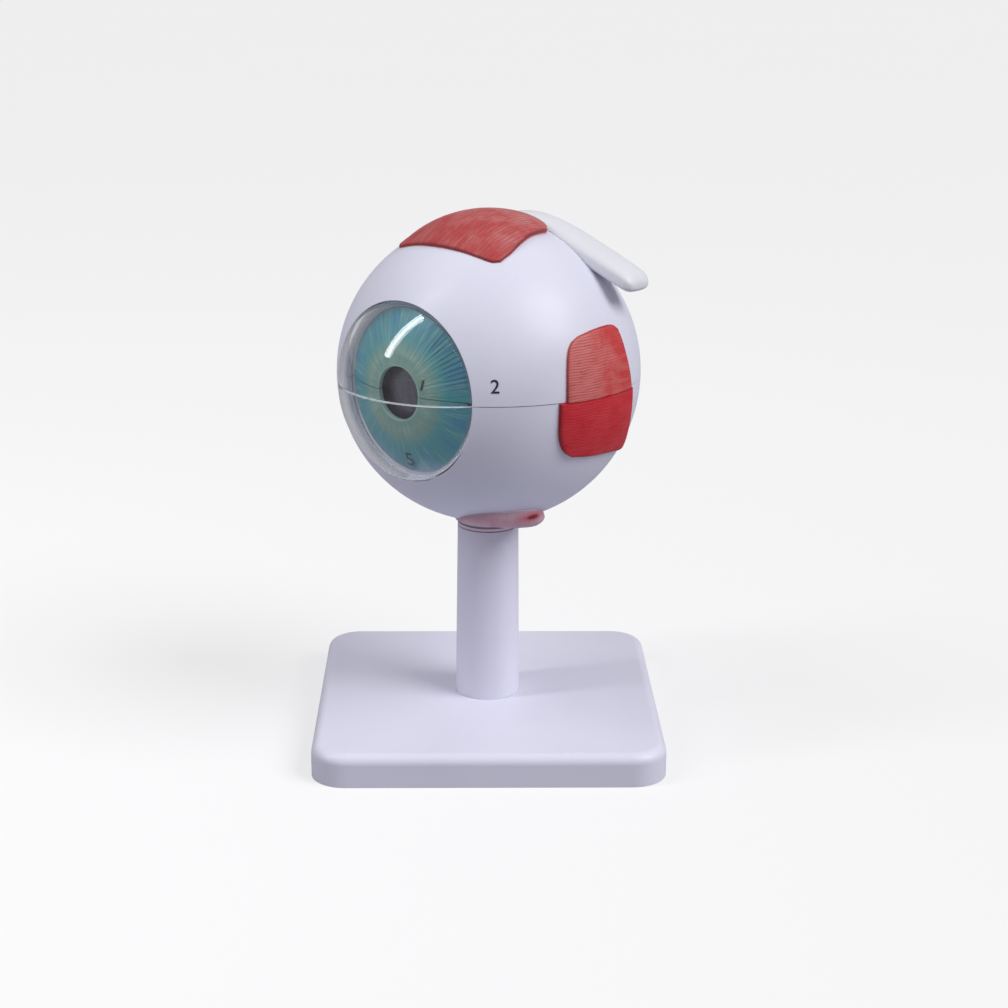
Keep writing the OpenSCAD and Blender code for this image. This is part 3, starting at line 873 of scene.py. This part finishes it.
@dataclass
class Iris:
    """Two halves of a shallow dome with raised radial fibres round the pupil."""

    cx: float = IRIS_CENTRE_X
    dome_r: float = 42.0
    wall: float = 1.2
    pupil_r: float = PUPIL_R
    rim_r: float = IRIS_RIM_R
    seat_x: float = 28.0
    relief: float = 0.11

    def profile(self) -> list[tuple[float, float]]:
        """Closed profile from the pupil's lip to the rim."""
        outer = arc(self.cx, self.dome_r, self.pupil_r + 0.35, self.rim_r, 44)
        inner = arc(self.cx, self.dome_r - self.wall, 19.35, self.pupil_r, 30)
        lip_x = self.cx + math.sqrt(self.dome_r**2 - self.pupil_r**2)
        return [(lip_x - 0.3, self.pupil_r), (lip_x - 0.07, self.pupil_r + 0.08), *outer,
                (self.seat_x, self.rim_r), (self.seat_x, 19.4), *inner]

    def raise_fibres(self, bm: bmesh.types.BMesh) -> None:
        """Lifts and sinks the outer face along radial fibres, with a ruff near the pupil."""
        centre = Vector((self.cx, 0, 0))
        for vert in bm.verts:
            arm = vert.co - centre
            if arm.length < self.dome_r - 0.05:
                continue
            radius = math.hypot(vert.co.y, vert.co.z)
            out = (radius - self.pupil_r) / (self.rim_r - self.pupil_r)
            fade = clamp01(out * 6) * clamp01((1 - out) * 12)
            c, s = vert.co.y / radius, vert.co.z / radius
            coarse = noise.noise(Vector((c * 11, s * 11, radius * 0.07)))
            fine = noise.noise(Vector((c * 27, s * 27, radius * 0.12 + 9)))
            ruff = math.exp(-(((radius - RUFF_R) / 0.9) ** 2)) * 0.9
            lift = self.relief * fade * (coarse * 0.8 + fine * 0.7 + ruff - 0.35)
            vert.co += arm.normalized() * lift

    def build(self, looks: SharedLooks) -> None:
        """Makes both halves."""
        paint = IrisPaint().build(looks)
        for half, body in ((Half.UPPER, "upper_choroid"), (Half.LOWER, "lower_choroid")):
            bm = turned_half(self.profile(), half, 300)
            self.raise_fibres(bm)
            into_eye(bm)
            piece = add_piece(f"iris_{half.name.lower()}_half", bm, paint, 50.0)
            settle(piece, body, [f"{half.name.lower()}_iris"])


@dataclass
class ReliefPatch:
    """A moulded muscle tongue that lies on the eyeball, with rounded edges and raised fibres.

    Along is the distance towards the front, across the distance from the muscle's middle or, on
    a side muscle, from the seam. A tongue turned in plan has its front turned towards the nose.
    """

    name: str
    node: str
    body: str
    slot: str
    place: Place
    front: Points
    tail: Points
    side: Points
    thickness: float = 1.0
    belly: tuple[float, float, float, float] | None = None
    half: Half | None = None
    turn: float = 0.0
    shift: float = 0.0
    round_r: float = 1.1
    soft: float = 0.85
    ridge: float = 0.05
    ridge_gap: float = 0.95

    def spot(self, along: float, across: float, height: float) -> Vector:
        """Point above the sclera, in the eye frame.

        Args:
            along: Distance towards the front.
            across: Distance to the side, or up on a side muscle.
            height: Height above the sclera.

        Returns:
            The point in millimetres.
        """
        across += self.shift
        rest = math.sqrt(max(SCLERA_R**2 - along**2 - across**2, 0.0))
        turn = math.radians(self.turn)
        along, across = (along * math.cos(turn) - across * math.sin(turn),
                         along * math.sin(turn) + across * math.cos(turn))
        base = {
            Place.TOP: Vector((along, across, rest)),
            Place.UNDER: Vector((along, across, -rest)),
            Place.NOSE: Vector((along, rest, across)),
            Place.TEMPLE: Vector((along, -rest, across)),
        }[self.place]
        return base * ((SCLERA_R + height) / SCLERA_R)

    def thick(self, along: float, across: float) -> float:
        """Full thickness of the tongue, up to its even layer or the ball of its belly."""
        if self.belly is None:
            return self.thickness
        out = self.spot(along, across, 0.0) / SCLERA_R
        centre = Vector(self.belly[:3])
        near = out.dot(centre)
        reach = near + math.sqrt(near**2 - centre.length_squared + self.belly[3] ** 2)
        return max(self.thickness, reach - SCLERA_R)

    def lay(self, u: float, v: float) -> tuple[float, float, float]:
        """Finds a grid point on the muscle.

        Args:
            u: -1 to 1 across a whole muscle, 0 to 1 up from the seam on a half one.
            v: 0 at the tail to 1 at the front.

        Returns:
            Along, across, and the distance to the nearest rounded edge.
        """
        w = abs(u)
        ahead = curve(self.front, w * self.front[-1][0])
        behind = curve(self.tail, w * self.tail[-1][0])
        along = behind + (ahead - behind) * v
        width = curve(self.side, along)
        across = u * width
        if self.half is not None:
            across = self.half.value * (SEAM_HALF + w * (width - SEAM_HALF))
        edge = min((1 - w) * width, (1 - v) * (ahead - behind), v * (ahead - behind))
        return along, across, edge

    def build(self, material: bpy.types.Material) -> bpy.types.Object:
        """Makes the patch.

        Args:
            material: Its finish.

        Returns:
            The finished piece.
        """
        bm = bmesh.new()
        whole = self.half is None
        edge_layer = bm.verts.layers.float.new("edge")
        rib_layer = bm.verts.layers.float.new("rib")
        uv_layer = bm.loops.layers.uv.new("pull")
        bmesh.ops.create_grid(bm, x_segments=84, y_segments=170 if whole else 110, size=1.0)
        lifted = bmesh.ops.extrude_face_region(bm, geom=bm.faces[:], use_keep_orig=True)
        top = {g for g in lifted["geom"] if isinstance(g, bmesh.types.BMVert)}
        reading: dict[bmesh.types.BMVert, tuple[float, float]] = {}
        for vert in bm.verts:
            v = (vert.co.x + 1) / 2
            u = vert.co.y if whole else (vert.co.y + 1) / 2
            along, across, edge = self.lay(u, v)
            thick = self.thick(along, across)
            round_r = max(self.round_r, thick * self.soft)
            swell = 1 - (1 - clamp01(edge / round_r)) ** 2
            height = thick * math.sqrt(max(swell, 0.0))
            strand = across / self.ridge_gap + 0.55 * noise.noise(
                Vector((along * 0.3, across * 0.35, 3.0)))
            comb = 0.5 + 0.5 * math.cos(2 * math.pi * strand)
            fade = clamp01(edge / 2.2)
            height += self.ridge * fade * (comb - 0.6 + 0.6 * noise.noise(
                Vector((along * 0.2, across * 1.4, 7.0))))
            reading[vert] = (across / 10, along / 10)
            vert[edge_layer] = clamp01(edge / 2.4)
            vert[rib_layer] = comb
            vert.co = self.spot(along, across, height if vert in top else -SUNK)
        for face in bm.faces:
            for loop in face.loops:
                loop[uv_layer].uv = reading[loop.vert]
        into_eye(bm)
        piece = add_piece(self.name, bm, material, 60.0)
        settle(piece, self.body, [self.node])
        return piece


@dataclass
class Muscles:
    """The muscles: one over the top, one across the underside and one split pair a side."""

    top_front: Points = ((0, 19.1), (4, 18.9), (8, 18.4), (12, 17.7), (15.4, 16.6), (16.8, 15.0))
    top_tail: Points = ((0, -9.5), (4, -9.5), (8.8, -9.1), (11.8, -8.0), (13.8, -5.8))
    top_side: Points = ((-5.8, 13.8), (-3, 14.3), (1.5, 14.9), (6.2, 15.9), (11, 16.8),
                        (15, 16.8))
    under_front: Points = ((0, 23.8), (4, 23.4), (6.8, 22.2), (8.9, 20.2), (10.3, 17.6),
                           (10.8, 14.5))
    under_tail: Points = ((0, -19.0), (2.8, -18.6), (5.2, -17.0), (7.0, -14.0))
    under_side: Points = ((-14, 7.0), (-9, 8.2), (-3, 9.2), (4, 10.2), (10, 10.8), (14.5, 10.8))
    upper_front: Points = ((0, 13.6), (4, 13.4), (8, 12.9), (11.6, 11.9), (14, 10.2), (15.3, 7.6))
    upper_tail: Points = ((0, -10.3), (3, -9.7), (6.6, -8.9), (9.8, -8.2), (13, -7.6),
                          (15, -6.9))
    upper_side: Points = ((-6.9, 15.0), (-5.2, 16.1), (-2, 16.4), (3, 16.1), (7.6, 15.3))
    lower_front: Points = ((0, 15.4), (4, 15.3), (7.4, 14.9), (10.6, 13.8), (13, 12.0),
                           (14.6, 9.4))
    lower_tail: Points = ((0, -10.6), (6, -11.4), (12, -12.5), (15.6, -13.4), (17.4, -12.8))
    lower_side: Points = ((-12.8, 17.4), (-10.8, 17.3), (-7, 16.5), (-1.9, 15.9), (4, 15.4),
                          (9.4, 14.6))

    def build(self, looks: SharedLooks) -> None:
        """Makes every muscle patch."""
        dull = MusclePaint("top_muscle_paint", (0.44, 0.055, 0.057), (0.56, 0.2, 0.19),
                           (0.22, 0.024, 0.03), ribbing=0.5, fade=-0.06, bump=0.35).build(looks)
        wavy = MusclePaint("side_upper_paint", (0.56, 0.045, 0.045), (0.64, 0.17, 0.16),
                           (0.27, 0.02, 0.025), ribbing=0.45, fade=0.24).build(looks)
        deep = MusclePaint("side_lower_paint", (0.55, 0.013, 0.027), (0.62, 0.04, 0.05),
                           (0.26, 0.01, 0.02), ribbing=0.25).build(looks)
        rosy = MusclePaint("under_muscle_paint", (0.53, 0.27, 0.36), (0.66, 0.42, 0.48),
                           (0.56, 0.36, 0.45), (0.75, 0.65, 0.74), 0.12,
                           dark_spot=(8.39, 22.53, -32.96, 2.7)).build(looks)
        ReliefPatch("superior_rectus_tongue", "superior_rectus", "upper_sclera",
                    "muscle_superior", Place.TOP, self.top_front, self.top_tail,
                    self.top_side, 0.8, (0.0, 0.0, 9.3, 32.15), soft=0.55).build(dull)
        ReliefPatch("inferior_oblique_tongue", "inferior_oblique", "lower_sclera",
                    "muscle_inferior", Place.UNDER, self.under_front, self.under_tail,
                    self.under_side, 0.7, (0.0, 7.5, 0.0, 39.2), turn=52.0,
                    shift=0.6, soft=1.4).build(rosy)
        for place, muscle in ((Place.NOSE, "medial"), (Place.TEMPLE, "lateral")):
            ReliefPatch(f"{muscle}_rectus_upper_half", f"{muscle}_rectus_upper",
                        "upper_sclera", "muscle_side", place, self.upper_front,
                        self.upper_tail, self.upper_side, half=Half.UPPER,
                        ridge_gap=0.62).build(wavy)
            ReliefPatch(f"{muscle}_rectus_lower_half", f"{muscle}_rectus_lower",
                        "lower_sclera", "muscle_side", place, self.lower_front,
                        self.lower_tail, self.lower_side, 1.15, half=Half.LOWER,
                        ridge_gap=0.7).build(deep)


@dataclass
class Tendon:
    """White rounded bar that leaves the ball behind the top muscle and runs out and down."""

    top: Points = ((-15, 33.2), (-12, 35.8), (-6, 38.4), (0, 39.45), (6, 39.0), (14, 36.9),
                   (22, 33.9), (30, 30.7), (35.6, 28.2), (37.6, 27.0))
    under: Points = ((-15, 30.0), (-12, 31.4), (-6, 33.0), (0, 34.0), (6, 33.4), (14, 31.4),
                     (22, 28.5), (30, 25.5), (35.6, 23.4), (37.6, 22.9))
    half_width: Points = ((-15, 3.6), (-8, 4.6), (0, 4.9), (30, 4.9), (35.6, 4.8), (37.6, 4.6))
    middle_x: float = -13.75
    start_y: float = -15.0
    end_y: float = 37.6
    power: float = 3.0

    white: MouldedPlastic = MouldedPlastic(
        "tendon_plastic", (0.73, 0.73, 0.78), (0.76, 0.76, 0.81), 0.45, 0.04, 0.08
    )

    def build(self, looks: SharedLooks) -> None:
        """Makes the bar from a grid rolled into a tube with a rounded tip."""
        material = self.white.build(looks)
        bm = bmesh.new()
        bmesh.ops.create_grid(bm, x_segments=90, y_segments=64, size=1.0)
        for vert in bm.verts:
            t = (vert.co.x + 1) / 2
            turn = vert.co.y * math.pi
            y = self.start_y + (self.end_y - self.start_y) * (1 - (1 - t) ** 1.5)
            tip = math.sqrt(max(1 - (1 - clamp01((self.end_y - y) / 2.4)) ** 2, 0.0))
            high, low = curve(self.top, y), curve(self.under, y)
            c, s = math.cos(turn), math.sin(turn)
            round_c = math.copysign(abs(c) ** (2 / self.power), c)
            round_s = math.copysign(abs(s) ** (2 / self.power), s)
            x = self.middle_x + curve(self.half_width, y) * round_c * (0.55 + 0.45 * tip)
            z = (high + low) / 2 + (high - low) / 2 * round_s * (0.2 + 0.8 * tip)
            vert.co = (x, y, z)
        bmesh.ops.remove_doubles(bm, verts=bm.verts, dist=1e-3)
        ends = [e for e in bm.edges if len(e.link_faces) == 1]
        bmesh.ops.holes_fill(bm, edges=ends, sides=0)
        into_eye(bm)
        piece = add_piece("superior_oblique_bar", bm, material, 50.0)
        settle(piece, "upper_sclera", ["superior_oblique_tendon"])


@dataclass
class Number:
    """One printed number, laid on a ball centred on the optical axis."""

    text: str
    body: str
    centre_x: float
    radius: float
    at: tuple[float, float, float]
    height: float
    bold: float = 0.0
    slant: float = 0.0

    def build(self, material: bpy.types.Material) -> None:
        """Makes the print as a thin film.

        Args:
            material: Its ink.
        """
        words = bpy.data.curves.new(f"number_{self.text}", "FONT")
        words.body = self.text
        words.size = self.height / 0.7
        words.align_x, words.align_y = "CENTER", "CENTER"
        words.offset = self.bold
        words.shear = self.slant
        flat = bpy.data.objects.new(f"number_{self.text}_outline", words)
        bpy.context.scene.collection.objects.link(flat)
        bpy.context.view_layer.update()
        mesh = bpy.data.meshes.new_from_object(flat.evaluated_get(
            bpy.context.evaluated_depsgraph_get()))
        bpy.data.objects.remove(flat)
        bm = bmesh.new()
        bm.from_mesh(mesh)
        bmesh.ops.triangulate(bm, faces=bm.faces)
        bmesh.ops.subdivide_edges(bm, edges=bm.edges, cuts=2, use_grid_fill=True)
        up = Vector((0, 0, 1))
        centre = Vector((self.centre_x, 0, 0))
        out = (Vector(self.at) - centre).normalized()
        east = up.cross(out).normalized()
        north = out.cross(east)
        lifted = bmesh.ops.extrude_face_region(bm, geom=bm.faces[:], use_keep_orig=True)
        film = {g for g in lifted["geom"] if isinstance(g, bmesh.types.BMVert)}
        for vert in bm.verts:
            arm = (out * self.radius + east * vert.co.x + north * vert.co.y).normalized()
            vert.co = centre + arm * (self.radius + (0.05 if vert in film else -0.05))
        into_eye(bm)
        piece = add_piece(f"printed_{self.text}", bm, material, 30.0)
        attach(piece, self.body)
        LOG.info("printed %s on %s", self.text, self.body)


@dataclass
class Numbers:
    """The numbers printed on the shell and on both iris halves."""

    prints: list[Number] = field(default_factory=lambda: [
        Number("2", "upper_sclera", 0.0, SCLERA_R, (28.1, 26.6, 4.8), 3.3, 0.03),
        Number("1", "upper_choroid", IRIS_CENTRE_X, 42.06, (33.3, 7.5, 3.45), 3.6, 0.04, 0.25),
        Number("5", "lower_choroid", IRIS_CENTRE_X, 42.06, (30.2, 0.9, -17.2), 3.9, 0.06),
    ])

    def build(self, looks: SharedLooks) -> None:
        """Prints every number."""
        ink = PrintedInk().build(looks)
        for number in self.prints:
            number.build(ink)


@dataclass
class Studio:
    """Plain pale floor, soft lamps and the camera of the photograph."""

    spot: tuple[float, float, float] = (-7.152, -500.682, 214.343)
    pitch: float = 17.086
    yaw: float = 1.2934
    roll: float = 0.407
    lens: float = 71.232

    def camera(self) -> None:
        """Sets the photograph's camera."""
        data = bpy.data.cameras.new("camera")
        data.lens = self.lens
        data.sensor_width = 36.0
        data.clip_start = 0.01
        eye = bpy.data.objects.new("camera", data)
        turn = (Matrix.Rotation(math.radians(-self.yaw), 4, "Z")
                @ Matrix.Rotation(math.radians(90.0 - self.pitch), 4, "X")
                @ Matrix.Rotation(math.radians(self.roll), 4, "Z"))
        eye.matrix_world = Matrix.Translation(Vector(self.spot) * MM) @ turn
        bpy.context.scene.collection.objects.link(eye)
        bpy.context.scene.camera = eye

    @staticmethod
    def lamp(name: str, kind: str, direction: tuple[float, float, float], far: float,
             **settings) -> None:
        """Adds a lamp that looks at the eyeball.

        Args:
            name: The lamp's name.
            kind: SUN or AREA.
            direction: From the eyeball to the lamp.
            far: Its distance in metres.
            settings: Properties of the lamp.
        """
        data = bpy.data.lights.new(name, kind)
        for key, value in settings.items():
            setattr(data, key, value)
        lamp = bpy.data.objects.new(name, data)
        centre = Vector((0, 0, EYE_HEIGHT * MM))
        out = Vector(direction).normalized()
        lamp.matrix_world = Matrix.Translation(centre + out * far) @ out.to_track_quat(
            "Z", "Y").to_matrix().to_4x4()
        bpy.context.scene.collection.objects.link(lamp)

    @staticmethod
    def world(strength: float, tint: Colour) -> None:
        """Even sky: tinted and dim as a light, white where it is seen directly."""
        world = bpy.data.worlds.new("studio")
        bpy.context.scene.world = world
        world.use_nodes = True
        kit = Nodes(world.node_tree)
        path = kit.add("ShaderNodeLightPath")
        straight = kit.math("LESS_THAN", path.outputs["Transmission Depth"], 5.5)
        through = kit.times(path.outputs["Is Transmission Ray"],
                            kit.math("MULTIPLY_ADD", straight, 0.38, 0.1))
        seen = kit.math("MAXIMUM", path.outputs["Is Camera Ray"], through)
        sky = kit.mix(seen, tuple(strength * part for part in tint), (1.0, 1.0, 1.0))
        glow = kit.add("ShaderNodeBackground", {"Color": sky, "Strength": 1.0})
        kit.add("ShaderNodeOutputWorld", {"Surface": glow.outputs[0]})

    def floor(self, looks: SharedLooks) -> None:
        """Lays the floor under the base."""
        bm = bmesh.new()
        bmesh.ops.create_grid(bm, x_segments=8, y_segments=8, size=8.0)
        floor = add_piece("floor", bm, PaleFloor().build(looks))

    def build(self, looks: SharedLooks) -> None:
        """Sets up the whole studio."""
        self.camera()
        self.world(0.34, (0.94, 0.94, 1.0))
        self.lamp("key", "SUN", (0.72, -0.36, 0.78), 2.0, energy=2.1, angle=math.radians(35))
        self.lamp("strip", "AREA", (-0.7, -0.2, 0.7), 0.62, energy=1.5, shape="RECTANGLE",
                  size=0.07, size_y=0.5)
        self.floor(looks)


def main() -> None:
    """Builds the model's looks in order."""
    logging.basicConfig(level=logging.INFO, format="%(asctime)s %(name)s: %(message)s")
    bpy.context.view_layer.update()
    looks = SharedLooks()
    Studio().build(looks)
    Stand().build(looks)
    Shells().build(looks)
    ClearCore().build(looks)
    Cornea().build(looks)
    Iris().build(looks)
    Muscles().build(looks)
    Tendon().build(looks)
    Numbers().build(looks)
    view = bpy.context.scene.view_settings
    view.view_transform = "Standard"


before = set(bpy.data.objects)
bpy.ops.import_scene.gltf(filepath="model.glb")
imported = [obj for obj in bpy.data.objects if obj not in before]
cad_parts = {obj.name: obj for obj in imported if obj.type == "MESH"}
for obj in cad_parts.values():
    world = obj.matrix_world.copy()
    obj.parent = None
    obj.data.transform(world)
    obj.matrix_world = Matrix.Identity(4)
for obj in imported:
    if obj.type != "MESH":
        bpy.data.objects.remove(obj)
if __name__ == "__main__":
    main()
